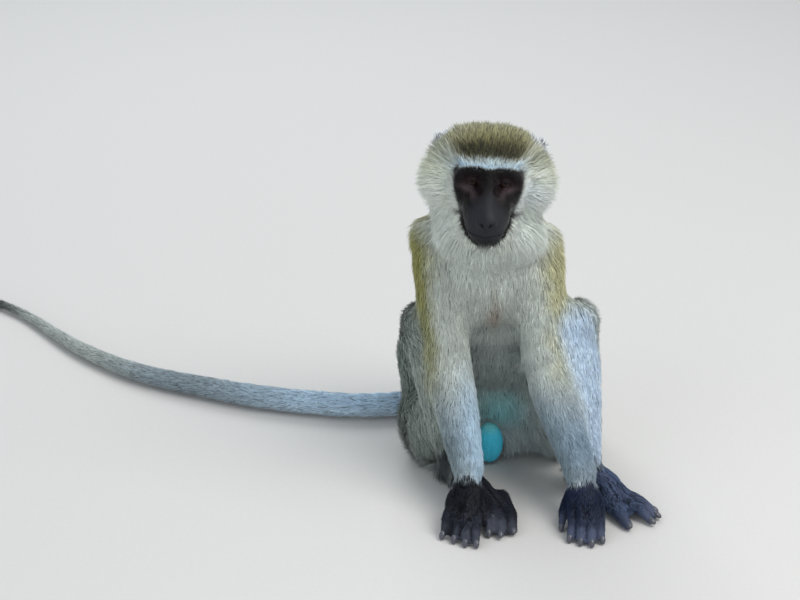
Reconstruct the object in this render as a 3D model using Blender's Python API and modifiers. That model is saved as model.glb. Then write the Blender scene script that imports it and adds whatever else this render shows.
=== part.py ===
"""A life-size adult male vervet monkey, sitting on its haunches with both hands on the floor in front.

Metres, +Z up. The animal faces -Y and its own left is +X. The floor is Z = 0 and the origin is the
seat: the middle of the haunches, where they rest on the floor. Every solid is the outer surface of the
coat, out to the tips of the hair. The body is shaped whole from lumps and tapered limbs, fused by a
voxel remesh, and then parted into its named pieces by thin cuts.
"""
import math

import bmesh
import bpy
from mathutils import Matrix, Vector

# ------------------------------------------------------------------ driving dimensions
GAP = 0.0003                    # clearance between one piece and the next
BODY_VOXEL = 0.0032             # fineness of the trunk and limbs, of the head, and of hands and feet
HEAD_VOXEL = 0.0022
HAND_VOXEL = 0.0013
BODY_FACES = 2150               # triangles that each is thinned to
HEAD_FACES = 1300
HAND_FACES = 400

SHOULDER = {"right": Vector((-0.060, -0.048, 0.220)), "left": Vector((0.040, -0.048, 0.220))}
ELBOW = {"right": Vector((-0.049, -0.090, 0.120)), "left": Vector((0.046, -0.092, 0.122))}
WRIST = {"right": Vector((-0.031, -0.166, 0.048)), "left": Vector((0.078, -0.173, 0.047))}
HIP = {"right": Vector((-0.050, 0.002, 0.050)), "left": Vector((0.052, 0.000, 0.050))}
KNEE = {"right": Vector((-0.074, -0.056, 0.150)), "left": Vector((0.0765, -0.070, 0.160))}
ANKLE = {"right": Vector((-0.043, -0.114, 0.032)), "left": Vector((0.0865, -0.127, 0.032))}
HEEL = {"right": Vector((-0.050, -0.100, 0.0150)), "left": Vector((0.080, -0.109, 0.0145))}

HEAD = Vector((-0.012, -0.088, 0.336))      # middle of the braincase
HEAD_NOD, HEAD_TIP, HEAD_TURN = 10.0, 3.0, -2.5     # degrees: down, to its left, to its right
EYE_RADIUS, EYE_SIDE, EYE_FORWARD, EYE_UP = 0.0090, 0.0155, 0.0315, -0.0020
EAR_SIZE = (0.0030, 0.0130, 0.0190)         # half thickness, half width, half height
NECK_CUT = Vector((-0.010, -0.060, 0.276))
NECK_SLOPE = Vector((0.0, -0.30, 0.954))
PELVIS_TOP, BELLY_TOP, CHEST_TOP = 0.088, 0.150, 0.232
SCROTUM, SCROTUM_SIZE = Vector((-0.0065, -0.0655, 0.0240)), (0.0150, 0.0130, 0.0230)

# knuckle, middle joint and tip of each finger, index first, then the thumb's root, joint and tip
FINGERS = {
    "right": [((-0.0245, -0.2010, 0.0290), (-0.0238, -0.2225, 0.0200), (-0.0242, -0.2370, 0.0044)),
              ((-0.0320, -0.2030, 0.0305), (-0.0335, -0.2230, 0.0210), (-0.0348, -0.2350, 0.0044)),
              ((-0.0395, -0.2000, 0.0290), (-0.0430, -0.2180, 0.0200), (-0.0452, -0.2280, 0.0044)),
              ((-0.0462, -0.1940, 0.0260), (-0.0520, -0.2095, 0.0180), (-0.0560, -0.2205, 0.0044))],
    "left": [((0.0705, -0.2005, 0.0280), (0.0682, -0.2160, 0.0190), (0.0655, -0.2265, 0.0044)),
             ((0.0785, -0.2035, 0.0300), (0.0772, -0.2210, 0.0205), (0.0755, -0.2325, 0.0044)),
             ((0.0862, -0.2025, 0.0290), (0.0862, -0.2220, 0.0200), (0.0858, -0.2355, 0.0044)),
             ((0.0930, -0.1975, 0.0260), (0.0950, -0.2150, 0.0180), (0.0962, -0.2290, 0.0044))]}
THUMB = {"right": ((-0.0220, -0.1810, 0.0330), (-0.0145, -0.2030, 0.0195), (-0.0122, -0.2165, 0.0046)),
         "left": ((0.0690, -0.1860, 0.0320), (0.0612, -0.1950, 0.0170), (0.0590, -0.2045, 0.0046))}
# root, middle and tip of each toe, second toe first, then the big toe, which stands off to the inside
TOES = {
    "right": [((0.0000, -0.1840, 0.0105), (0.0000, -0.2040, 0.0115), (-0.0006, -0.2200, 0.0046)),
              ((-0.0078, -0.1835, 0.0100), (-0.0082, -0.1930, 0.0110), (-0.0080, -0.2010, 0.0046)),
              ((-0.0152, -0.1790, 0.0095), (-0.0165, -0.1880, 0.0105), (-0.0172, -0.1955, 0.0046)),
              ((-0.0218, -0.1715, 0.0090), (-0.0245, -0.1800, 0.0095), (-0.0262, -0.1875, 0.0044))],
    "left": [((0.1215, -0.1690, 0.0105), (0.1350, -0.1830, 0.0115), (0.1460, -0.1945, 0.0046)),
             ((0.1250, -0.1620, 0.0105), (0.1400, -0.1735, 0.0115), (0.1520, -0.1825, 0.0046)),
             ((0.1250, -0.1545, 0.0100), (0.1385, -0.1640, 0.0110), (0.1500, -0.1715, 0.0046)),
             ((0.1225, -0.1475, 0.0095), (0.1340, -0.1555, 0.0100), (0.1435, -0.1615, 0.0044))]}
BIG_TOE = {"right": ((0.0000, -0.1600, 0.0110), (0.0095, -0.1900, 0.0095), (0.0118, -0.2140, 0.0050)),
           "left": ((0.1040, -0.1600, 0.0110), (0.1150, -0.1850, 0.0095), (0.1235, -0.2040, 0.0050))}

# the tail's route and its radius: out of the rump, round the right haunch, and away along the floor
TAIL = [((0.004, 0.046, 0.040), 0.0180), ((-0.012, 0.064, 0.027), 0.0175),
        ((-0.038, 0.0675, 0.0185), 0.0165), ((-0.072, 0.0525, 0.0152), 0.0155),
        ((-0.105, 0.0405, 0.0147), 0.0150),
        ((-0.160, 0.0390, 0.0147), 0.0150), ((-0.244, 0.0580, 0.0144), 0.0147),
        ((-0.299, 0.0810, 0.0137), 0.0140), ((-0.359, 0.1100, 0.0124), 0.0127),
        ((-0.402, 0.1400, 0.0114), 0.0117), ((-0.454, 0.1920, 0.0097), 0.0100),
        ((-0.491, 0.2410, 0.0081), 0.0084), ((-0.524, 0.2840, 0.0072), 0.0075),
        ((-0.558, 0.3150, 0.0068), 0.0071), ((-0.588, 0.3330, 0.0066), 0.0069),
        ((-0.612, 0.3420, 0.0046), 0.0048)]
TAIL_CUTS = (4.6, 7.0, 9.2, 11.4)           # along the route, in points, where the tail is parted

SIDES = ("right", "left")
SIGN = {"right": -1, "left": 1}

# colour, roughness of each kind of surface
COATS = {"olive": ((0.16, 0.155, 0.085), 0.9), "pale": ((0.42, 0.46, 0.44), 0.9),
         "grey": ((0.22, 0.25, 0.25), 0.9), "black": ((0.022, 0.024, 0.030), 0.8),
         "tail": ((0.24, 0.29, 0.33), 0.9), "skin": ((0.012, 0.011, 0.012), 0.55),
         "eye": ((0.030, 0.014, 0.006), 0.08), "blue": ((0.03, 0.30, 0.42), 0.6)}

# ------------------------------------------------------------------ scene and materials
for old in list(bpy.data.objects):
    bpy.data.objects.remove(old, do_unlink=True)
model = bpy.data.collections.new("vervet_monkey")
cutters = bpy.data.collections.new("cutters")
bpy.context.scene.collection.children.link(model)
bpy.context.scene.collection.children.link(cutters)
seat = bpy.data.objects.new("seat", None)
model.objects.link(seat)


def material(kind):
    """The Principled material of a kind of surface, made once."""
    mat = bpy.data.materials.get(kind)
    if mat is None:
        mat = bpy.data.materials.new(kind)
        mat.use_nodes = True
        shader = mat.node_tree.nodes["Principled BSDF"]
        colour, rough = COATS[kind]
        shader.inputs["Base Color"].default_value = (*colour, 1.0)
        shader.inputs["Roughness"].default_value = rough
        shader.inputs["Metallic"].default_value = 0.0
    return mat


# ------------------------------------------------------------------ building blocks
def lump(bm, centre, radii, turn=None, segments=28, rings=16):
    """Add an ellipsoid of half-sizes radii, turned by a rotation about its own centre."""
    turn = turn or Matrix.Identity(4)
    place = Matrix.Translation(centre) @ turn @ Matrix.Diagonal((*radii, 1.0))
    bmesh.ops.create_uvsphere(bm, u_segments=segments, v_segments=rings, radius=1.0, matrix=place)


def prism(bm, a, b, radius_a, radius_b, sides):
    """Add a closed straight taper from a to b."""
    axis = Vector(b) - Vector(a)
    turn = axis.to_track_quat("Z", "Y").to_matrix().to_4x4()
    place = Matrix.Translation((Vector(a) + Vector(b)) / 2) @ turn
    bmesh.ops.create_cone(bm, cap_ends=True, segments=sides, radius1=radius_a, radius2=radius_b,
                          depth=axis.length, matrix=place)


def limb(bm, points, radii, sides=20):
    """Add a round limb through points, with a radius at each: tapers with a ball at every joint."""
    for a, b, ra, rb in zip(points[:-1], points[1:], radii[:-1], radii[1:]):
        prism(bm, a, b, ra, rb, sides)
    for point, radius in zip(points, radii):
        lump(bm, Vector(point), (radius,) * 3, segments=sides, rings=sides // 2)


def mesh_object(bm, name, home=None):
    """Put a bmesh in an object in the model's collection, or in another."""
    mesh = bpy.data.meshes.new(name)
    bm.to_mesh(mesh)
    bm.free()
    obj = bpy.data.objects.new(name, mesh)
    (home or model).objects.link(obj)
    return obj


def apply_modifiers(obj):
    """Make what the modifiers show into the object's own mesh."""
    shown = obj.evaluated_get(bpy.context.evaluated_depsgraph_get())
    obj.data = bpy.data.meshes.new_from_object(shown)
    obj.modifiers.clear()


def fuse(obj, voxel, rounds, faces):
    """Fuse overlapping lumps into one skin, soften it, and thin it to about so many triangles."""
    remesh = obj.modifiers.new("fuse", "REMESH")
    remesh.mode = "VOXEL"
    remesh.voxel_size = voxel
    soften = obj.modifiers.new("soften", "SMOOTH")
    soften.factor = 0.5
    soften.iterations = rounds
    apply_modifiers(obj)
    thin = obj.modifiers.new("thin", "DECIMATE")
    thin.ratio = min(1.0, faces / (2 * len(obj.data.polygons)))
    thin.use_collapse_triangulate = True
    apply_modifiers(obj)


def boolean(obj, cutter, operation):
    """Cut an object by a cutter, or keep only what lies inside it."""
    step = obj.modifiers.new(operation, "BOOLEAN")
    step.operation = operation
    step.solver = "EXACT"
    step.object = cutter
    apply_modifiers(obj)


def cutter_object(bm):
    cutter = mesh_object(bm, "cutter", cutters)
    cutter.hide_render = True
    cutter.display_type = "WIRE"
    return cutter


def sleeve(a, b, radius_a, radius_b, before=0.0, after=0.0, grow=0.0, sides=14):
    """A tapered prism round the line a to b, run on past its ends, grown all round by a clearance."""
    along = (b - a).normalized()
    bm = bmesh.new()
    start, end = a - along * (before + grow), b + along * (after + grow)
    prism(bm, start, end, radius_a + grow, radius_b + grow, sides)
    return cutter_object(bm)


def half_space(point, normal, size=0.5):
    """A big box on the side of a plane that its normal points to."""
    normal = Vector(normal).normalized()
    turn = normal.to_track_quat("Z", "Y").to_matrix().to_4x4()
    place = Matrix.Translation(Vector(point) + normal * size) @ turn
    bm = bmesh.new()
    bmesh.ops.create_cube(bm, size=2 * size, matrix=place)
    return cutter_object(bm)


def trim(obj, point, normal):
    """Cut away what lies beyond a plane."""
    cutter = half_space(point, normal)
    boolean(obj, cutter, "DIFFERENCE")
    bpy.data.objects.remove(cutter, do_unlink=True)


def rest_on_floor(obj):
    """Give an object small flats where it reaches the floor."""
    trim(obj, (0, 0, 0), (0, 0, -1))


def part_off(whole, name, a, b, radius_a, radius_b, before=0.0, after=0.0, clear_after=0.0):
    """Cut a limb's piece out of the whole with a sleeve, and leave the clearance round it."""
    piece = whole.copy()
    piece.data = whole.data.copy()
    piece.name = name
    model.objects.link(piece)
    keep = sleeve(a, b, radius_a, radius_b, before, after)
    boolean(piece, keep, "INTERSECT")
    lose = sleeve(a, b, radius_a, radius_b, before, after + clear_after, GAP)
    boolean(whole, lose, "DIFFERENCE")
    keep_largest(whole)
    for cutter in (keep, lose):
        bpy.data.objects.remove(cutter, do_unlink=True)
    return piece


def keep_largest(obj):
    """Drop the slivers that a cut leaves behind."""
    bm = bmesh.new()
    bm.from_mesh(obj.data)
    unseen, shells = set(bm.verts), []
    while unseen:
        shell, edge_of_search = set(), [unseen.pop()]
        while edge_of_search:
            vert = edge_of_search.pop()
            shell.add(vert)
            near = {e.other_vert(vert) for e in vert.link_edges} & unseen
            unseen -= near
            edge_of_search += near
        shells.append(shell)
    shells.sort(key=len)
    for shell in shells[:-1]:
        bmesh.ops.delete(bm, geom=list(shell), context="VERTS")
    bm.to_mesh(obj.data)
    bm.free()


def socket(hosts, make, name):
    """Make a solid in a socket: cut its shape, grown by the clearance, out of its hosts."""
    grown = make(GAP, cutters)
    for host in hosts:
        boolean(host, grown, "DIFFERENCE")
    bpy.data.objects.remove(grown, do_unlink=True)
    obj = make(0.0, model)
    obj.name = name
    return obj


# ------------------------------------------------------------------ the head's own frame
HEAD_AXES = (Matrix.Rotation(math.radians(HEAD_TURN), 4, "Z")
             @ Matrix.Rotation(math.radians(HEAD_NOD), 4, "X")
             @ Matrix.Rotation(math.radians(HEAD_TIP), 4, "Y"))


def on_head(side, forward, up):
    """A point so far to the head's left, forward and up from the middle of the braincase."""
    return HEAD + HEAD_AXES.to_3x3() @ Vector((side, -forward, up))


def add_head(bm):
    """Crown, cheek whiskers, brow band, face, muzzle, nose and chin."""
    for s in (-1, 1):
        lump(bm, on_head(s * 0.012, -0.004, -0.002), (0.041, 0.046, 0.0355), HEAD_AXES)
        lump(bm, on_head(s * 0.035, 0.005, -0.018), (0.032, 0.027, 0.035), HEAD_AXES)
        lump(bm, on_head(s * 0.024, 0.017, -0.016), (0.023, 0.020, 0.028), HEAD_AXES)
        lump(bm, on_head(s * 0.036, -0.002, -0.046), (0.025, 0.024, 0.026), HEAD_AXES)
        limb(bm, [on_head(s * 0.005, 0.0415, 0.0070), on_head(s * 0.026, 0.0370, 0.0055)], [0.0050, 0.0045])
    lump(bm, on_head(0, 0.028, 0.013), (0.038, 0.015, 0.012), HEAD_AXES)
    lump(bm, on_head(0, 0.027, -0.006), (0.034, 0.015, 0.019), HEAD_AXES)
    limb(bm, [on_head(0, 0.026, -0.013), on_head(0, 0.054, -0.031)], [0.0262, 0.0212])
    limb(bm, [on_head(0, 0.040, 0.004), on_head(0, 0.070, -0.020)], [0.0085, 0.0080])
    lump(bm, on_head(0, 0.058, -0.041), (0.0175, 0.0160, 0.0135), HEAD_AXES)


def add_trunk(bm):
    """Haunches, belly, waist, ribs, breast and shoulders."""
    lump(bm, Vector((0.002, 0.008, 0.052)), (0.078, 0.061, 0.066))
    lump(bm, Vector((0.003, -0.001, 0.022)), (0.084, 0.058, 0.032))
    lump(bm, Vector((-0.062, -0.048, 0.044)), (0.041, 0.045, 0.049))
    lump(bm, Vector((0.062, -0.040, 0.044)), (0.039, 0.043, 0.049))
    lump(bm, Vector((0.000, -0.001, 0.115)), (0.069, 0.060, 0.070))
    lump(bm, Vector((-0.004, -0.007, 0.152)), (0.068, 0.062, 0.070))
    lump(bm, Vector((-0.008, -0.014, 0.190)), (0.068, 0.063, 0.073))
    lump(bm, Vector((-0.008, -0.056, 0.212)), (0.057, 0.044, 0.064))
    limb(bm, [Vector((-0.054, -0.036, 0.233)), Vector((0.032, -0.038, 0.230))], [0.038, 0.036])
    add_neck(bm)


def add_neck(bm):
    """The neck and the ruff of the throat."""
    limb(bm, [Vector((-0.008, -0.032, 0.250)), Vector((-0.010, -0.062, 0.318))], [0.053, 0.047])
    lump(bm, Vector((-0.010, -0.082, 0.262)), (0.057, 0.038, 0.044))


def arm_points(side):
    s, e, w = SHOULDER[side], ELBOW[side], WRIST[side]
    return [s, s.lerp(e, 0.5), e, e.lerp(w, 0.45), w, w + (w - e) * 0.12]


def add_limbs(bm):
    for side in SIDES:
        hip, knee, ankle = HIP[side], KNEE[side], ANKLE[side]
        limb(bm, arm_points(side), [0.0305, 0.0295, 0.0275, 0.0248, 0.0190, 0.0180])
        limb(bm, [hip, hip.lerp(knee, 0.55), knee], [0.050, 0.043, 0.0280])
        limb(bm, [knee, knee.lerp(ankle, 0.5), ankle], [0.0265, 0.0242, 0.0190])


def build_body():
    """Trunk, neck and limbs as one skin, without hands, feet or head."""
    bm = bmesh.new()
    add_trunk(bm)
    add_limbs(bm)
    body = mesh_object(bm, "body")
    fuse(body, BODY_VOXEL, 8, BODY_FACES)
    rest_on_floor(body)
    trim(body, NECK_CUT, NECK_SLOPE)
    return body


def build_head():
    """The head, with enough of the neck under it to meet the cut."""
    bm = bmesh.new()
    add_head(bm)
    add_neck(bm)
    head = mesh_object(bm, "head")
    hollows = bmesh.new()
    for s in (-1, 1):
        lump(hollows, on_head(s * EYE_SIDE, 0.0480, EYE_UP), (0.0125, 0.0110, 0.0068), HEAD_AXES)
    remesh = head.modifiers.new("fuse", "REMESH")
    remesh.mode = "VOXEL"
    remesh.voxel_size = HEAD_VOXEL
    apply_modifiers(head)
    cutter = cutter_object(hollows)
    boolean(head, cutter, "DIFFERENCE")
    bpy.data.objects.remove(cutter, do_unlink=True)
    fuse(head, HEAD_VOXEL * 0.8, 3, HEAD_FACES)
    trim(head, NECK_CUT + NECK_SLOPE * GAP, -NECK_SLOPE)
    keep_largest(head)
    return head


def eye_maker(side):
    def make(grow, home):
        bm = bmesh.new()
        centre = on_head(SIGN[side] * EYE_SIDE, EYE_FORWARD, EYE_UP)
        ahead = HEAD_AXES @ Matrix.Rotation(math.radians(90), 4, "X")
        lump(bm, centre, (EYE_RADIUS + grow,) * 3, ahead, 12, 7)
        return mesh_object(bm, "eye", home)
    return make


def ear_maker(side):
    """A low rounded leaf that leans out of the coat behind the cheek."""
    def make(grow, home):
        s = SIGN[side]
        outward = Matrix.Rotation(math.radians(28 * s), 4, "Y")
        forward = Matrix.Rotation(math.radians(30 * s), 4, "Z")
        lean = HEAD_AXES @ outward @ forward
        bm = bmesh.new()
        lump(bm, on_head(s * 0.0430, -0.0120, 0.0040), [r + grow for r in EAR_SIZE], lean, 12, 7)
        return mesh_object(bm, "ear", home)
    return make


def scrotum_maker(grow, home):
    bm = bmesh.new()
    lump(bm, SCROTUM, [r + grow for r in SCROTUM_SIZE], segments=12, rings=8)
    return mesh_object(bm, "scrotum", home)


def build_hand(side):
    """Palm, four fingers and a thumb, cut flat at the wrist."""
    elbow, wrist = ELBOW[side], WRIST[side]
    bm = bmesh.new()
    limb(bm, [elbow.lerp(wrist, 0.75), wrist], [0.0205, 0.0178])
    for knuckle, middle, tip in [[Vector(p) for p in finger] for finger in FINGERS[side]]:
        limb(bm, [wrist.lerp(knuckle, 0.25), knuckle], [0.0128, 0.0084])
        limb(bm, [knuckle, middle, tip], [0.0072, 0.0061, 0.0051])
    root, joint, tip = [Vector(p) for p in THUMB[side]]
    limb(bm, [wrist.lerp(root, 0.3), root, joint, tip], [0.0125, 0.0085, 0.0063, 0.0053])
    hand = mesh_object(bm, "hand_" + side)
    fuse(hand, HAND_VOXEL, 3, HAND_FACES)
    rest_on_floor(hand)
    trim(hand, wrist.lerp(elbow, -GAP / (elbow - wrist).length), elbow - wrist)
    return hand


def build_foot(side):
    """Heel, sole, four toes and the big toe, cut flat at the ankle."""
    knee, ankle, heel = KNEE[side], ANKLE[side], HEEL[side]
    bm = bmesh.new()
    limb(bm, [knee.lerp(ankle, 0.8), ankle, heel], [0.0205, 0.0182, 0.0155])
    for root, middle, tip in [[Vector(p) for p in toe] for toe in TOES[side]]:
        instep = ankle.lerp(root, 0.55)
        limb(bm, [heel.lerp(root, 0.25), instep, root], [0.0130, 0.0118, 0.0082])
        limb(bm, [ankle, instep], [0.0155, 0.0110])
        limb(bm, [root, middle, tip], [0.0076, 0.0064, 0.0052])
    limb(bm, [Vector(p) for p in BIG_TOE[side]], [0.0108, 0.0082, 0.0062])
    foot = mesh_object(bm, "foot_" + side)
    fuse(foot, HAND_VOXEL, 3, HAND_FACES)
    rest_on_floor(foot)
    trim(foot, ankle.lerp(knee, -GAP / (knee - ankle).length), knee - ankle)
    return foot


def tail_point(t):
    """Place and radius at a distance along the tail's route, counted in points: a smooth curve."""
    i = min(int(t), len(TAIL) - 2)
    f = t - i
    near = [TAIL[min(max(i + k, 0), len(TAIL) - 1)] for k in (-1, 0, 1, 2)]
    weights = (-0.5 * f + f * f - 0.5 * f ** 3, 1 - 2.5 * f * f + 1.5 * f ** 3,
               0.5 * f + 2 * f * f - 1.5 * f ** 3, -0.5 * f * f + 0.5 * f ** 3)
    place = sum((Vector(p) * w for (p, _), w in zip(near, weights)), Vector())
    return place, sum(r * w for (_, r), w in zip(near, weights))


def tail_tube(start, end, grow, home, step=0.5):
    """The tail between two places on its route, as a beveled curve made into a closed mesh."""
    count = max(2, round((end - start) / step) + 1)
    curve = bpy.data.curves.new("tail", "CURVE")
    curve.dimensions = "3D"
    curve.bevel_depth = 1.0
    curve.bevel_resolution = 2
    curve.use_fill_caps = True
    spline = curve.splines.new("POLY")
    spline.points.add(count - 1)
    for k, point in enumerate(spline.points):
        place, radius = tail_point(start + (end - start) * k / (count - 1))
        if k == 0:
            place += (place - tail_point(start + step)[0]).normalized() * grow
        point.co = (*place, 1.0)
        point.radius = radius + grow
    guide = bpy.data.objects.new("tail_route", curve)
    cutters.objects.link(guide)
    mesh = bpy.data.meshes.new_from_object(guide.evaluated_get(bpy.context.evaluated_depsgraph_get()))
    bpy.data.objects.remove(guide, do_unlink=True)
    bm = bmesh.new()
    bm.from_mesh(mesh)
    bmesh.ops.remove_doubles(bm, verts=bm.verts, dist=1e-6)
    return mesh_object(bm, "tail", home)


def build_tail():
    """The whole tail, rounded at its end, and parted into lengths that meet face to face."""
    stops = (0.0, *TAIL_CUTS, len(TAIL) - 1.0)
    whole = tail_tube(stops[0], stops[-1], 0.0, model)
    rest_on_floor(whole)
    lengths = []
    for number, (start, end) in enumerate(zip(stops[:-1], stops[1:]), 1):
        piece = whole.copy()
        piece.data = whole.data.copy()
        piece.name = "tail_%d" % number
        model.objects.link(piece)
        for at, way, inner in ((start, -1, number > 1), (end, 1, number < len(stops) - 1)):
            if inner:
                along = (tail_point(at + 0.01)[0] - tail_point(at - 0.01)[0]).normalized()
                trim(piece, tail_point(at)[0] - along * way * GAP / 2, along * way)
                keep_largest(piece)
        lengths.append(piece)
    bpy.data.objects.remove(whole, do_unlink=True)
    return lengths


def finish(obj, kind):
    """Tidy an object's mesh, give it its material, and hang it on the seat with its origin inside it."""
    keep_largest(obj)
    bm = bmesh.new()
    bm.from_mesh(obj.data)
    bmesh.ops.remove_doubles(bm, verts=bm.verts, dist=2e-5)
    bmesh.ops.dissolve_limit(bm, angle_limit=math.radians(0.5), verts=bm.verts, edges=bm.edges)
    bmesh.ops.triangulate(bm, faces=bm.faces)
    bmesh.ops.dissolve_degenerate(bm, edges=bm.edges, dist=1e-5)
    bmesh.ops.recalc_face_normals(bm, faces=bm.faces)
    middle = sum((v.co for v in bm.verts), Vector()) / len(bm.verts)
    bmesh.ops.translate(bm, verts=bm.verts, vec=-middle)
    bm.to_mesh(obj.data)
    bm.free()
    obj.data.name = obj.name
    obj.data.materials.clear()
    obj.data.materials.append(material(kind))
    obj.location = middle
    obj.parent = seat


# ------------------------------------------------------------------ the animal
body = build_body()
for side in SIDES:
    shoulder, elbow, wrist = SHOULDER[side], ELBOW[side], WRIST[side]
    finish(part_off(body, "forearm_" + side, elbow, wrist, 0.0300, 0.0225, clear_after=0.03), "pale")
    finish(part_off(body, "upper_arm_" + side, shoulder, elbow, 0.0335, 0.0310, before=0.010,
                    after=-GAP), "olive")
for side in SIDES:
    hip, knee, ankle = HIP[side], KNEE[side], ANKLE[side]
    finish(part_off(body, "shin_" + side, knee, ankle, 0.0290, 0.0240, clear_after=0.03), "grey")
    part_off(body, "thigh_" + side, hip, knee, 0.0560, 0.0370, before=-0.026, after=0.050)

for name, low, high in (("pelvis", None, PELVIS_TOP), ("belly", PELVIS_TOP, BELLY_TOP),
                        ("chest", BELLY_TOP, CHEST_TOP), ("neck", CHEST_TOP, None)):
    slab = body.copy()
    slab.data = body.data.copy()
    slab.name = name
    model.objects.link(slab)
    if low:
        trim(slab, (0, 0, low + GAP / 2), (0, 0, -1))
    if high:
        trim(slab, (0, 0, high - GAP / 2), (0, 0, 1))
bpy.data.objects.remove(body, do_unlink=True)

head = build_head()
for side in SIDES:
    finish(socket([head], eye_maker(side), "eye_" + side), "eye")
    finish(socket([head], ear_maker(side), "ear_" + side), "skin")
    finish(build_hand(side), "black")
    finish(build_foot(side), "black")

pelvis = model.objects["pelvis"]
thighs = [model.objects["thigh_" + side] for side in SIDES]
finish(socket([pelvis] + thighs, scrotum_maker, "scrotum"), "blue")
tail_room = tail_tube(0.0, 5.0, GAP, cutters)
for host in [pelvis] + thighs:
    boolean(host, tail_room, "DIFFERENCE")
bpy.data.objects.remove(tail_room, do_unlink=True)
for length in build_tail():
    finish(length, "tail")

for name, kind in (("head", "pale"), ("neck", "pale"), ("chest", "pale"), ("belly", "pale"),
                   ("pelvis", "grey"), ("thigh_right", "grey"), ("thigh_left", "grey")):
    finish(model.objects[name], kind)
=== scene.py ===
"""The looks of a life-size vervet monkey that sits with both hands on the floor.

One skin is fused from all the solids and drawn in by the depth of the coat. The face is sculpted on it,
and tufts of hair grow from it, each along the lie of the coat at its root. Skin and hair take their
colours from the same function of place. Metres, +Z up, the animal faces -Y, its left is +X.
"""
import math

import bmesh
import bpy
import numpy as np
from mathutils import Matrix, Vector


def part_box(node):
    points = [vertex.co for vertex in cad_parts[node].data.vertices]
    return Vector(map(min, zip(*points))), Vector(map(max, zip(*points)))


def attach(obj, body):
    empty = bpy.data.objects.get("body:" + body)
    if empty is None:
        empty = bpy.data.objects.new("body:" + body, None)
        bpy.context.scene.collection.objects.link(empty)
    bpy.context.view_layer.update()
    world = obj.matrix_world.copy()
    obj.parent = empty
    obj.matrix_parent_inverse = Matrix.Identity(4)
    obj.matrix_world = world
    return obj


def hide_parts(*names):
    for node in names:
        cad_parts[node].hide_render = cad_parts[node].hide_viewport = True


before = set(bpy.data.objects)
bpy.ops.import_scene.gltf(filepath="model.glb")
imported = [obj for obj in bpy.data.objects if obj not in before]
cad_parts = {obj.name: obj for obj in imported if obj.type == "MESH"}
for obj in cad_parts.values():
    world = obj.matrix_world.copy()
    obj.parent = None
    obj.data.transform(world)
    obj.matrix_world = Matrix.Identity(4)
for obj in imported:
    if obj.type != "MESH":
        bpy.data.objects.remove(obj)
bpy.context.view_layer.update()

# ---- the body's landmarks
HEAD = Vector((-0.012, -0.088, 0.336))                  # middle of the braincase
HEAD_NOD, HEAD_TIP, HEAD_TURN = 10.0, 3.0, -2.5         # degrees: down, to its left, to its right
SIDES = ("right", "left")
SIGN = {"right": -1.0, "left": 1.0}
SHOULDER = {"right": (-0.060, -0.048, 0.220), "left": (0.040, -0.048, 0.220)}
ELBOW = {"right": (-0.049, -0.090, 0.120), "left": (0.046, -0.092, 0.122)}
WRIST = {"right": (-0.031, -0.166, 0.048), "left": (0.078, -0.173, 0.047)}
HIP = {"right": (-0.050, 0.002, 0.050), "left": (0.052, 0.000, 0.050)}
KNEE = {"right": (-0.074, -0.056, 0.150), "left": (0.0765, -0.070, 0.160)}
ANKLE = {"right": (-0.043, -0.114, 0.032), "left": (0.0865, -0.127, 0.032)}
SPINE = [(0.002, 0.008, 0.030), (0.000, -0.001, 0.115), (-0.008, -0.014, 0.190), (-0.008, -0.030, 0.236)]
NECK = [(-0.008, -0.040, 0.250), (-0.011, -0.070, 0.318)]
TAIL = [(0.004, 0.046, 0.040), (-0.038, 0.0675, 0.0185), (-0.105, 0.0405, 0.0147), (-0.244, 0.058, 0.0144),
        (-0.359, 0.110, 0.0124), (-0.454, 0.192, 0.0097), (-0.524, 0.284, 0.0072), (-0.612, 0.342, 0.0046)]
TAIL_RADII = [0.018, 0.0165, 0.015, 0.0147, 0.0127, 0.010, 0.0075, 0.0048]

# the last joint and the tip of each finger and toe, thumb and big toe last
FINGERS = {
    "right": [((-0.0238, -0.2225, 0.0200), (-0.0242, -0.2370, 0.0044)),
              ((-0.0335, -0.2230, 0.0210), (-0.0348, -0.2350, 0.0044)),
              ((-0.0430, -0.2180, 0.0200), (-0.0452, -0.2280, 0.0044)),
              ((-0.0520, -0.2095, 0.0180), (-0.0560, -0.2205, 0.0044)),
              ((-0.0145, -0.2030, 0.0195), (-0.0122, -0.2165, 0.0046))],
    "left": [((0.0682, -0.2160, 0.0190), (0.0655, -0.2265, 0.0044)),
             ((0.0772, -0.2210, 0.0205), (0.0755, -0.2325, 0.0044)),
             ((0.0862, -0.2220, 0.0200), (0.0858, -0.2355, 0.0044)),
             ((0.0950, -0.2150, 0.0180), (0.0962, -0.2290, 0.0044)),
             ((0.0612, -0.1950, 0.0170), (0.0590, -0.2045, 0.0046))]}
TOES = {
    "right": [((0.0000, -0.2040, 0.0115), (-0.0006, -0.2200, 0.0046)),
              ((-0.0082, -0.1930, 0.0110), (-0.0080, -0.2010, 0.0046)),
              ((-0.0165, -0.1880, 0.0105), (-0.0172, -0.1955, 0.0046)),
              ((-0.0245, -0.1800, 0.0095), (-0.0262, -0.1875, 0.0044)),
              ((0.0095, -0.1900, 0.0095), (0.0118, -0.2140, 0.0050))],
    "left": [((0.1350, -0.1830, 0.0115), (0.1460, -0.1945, 0.0046)),
             ((0.1400, -0.1735, 0.0115), (0.1520, -0.1825, 0.0046)),
             ((0.1385, -0.1640, 0.0110), (0.1500, -0.1715, 0.0046)),
             ((0.1340, -0.1555, 0.0100), (0.1435, -0.1615, 0.0044)),
             ((0.1150, -0.1850, 0.0095), (0.1235, -0.2040, 0.0050))]}

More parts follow.
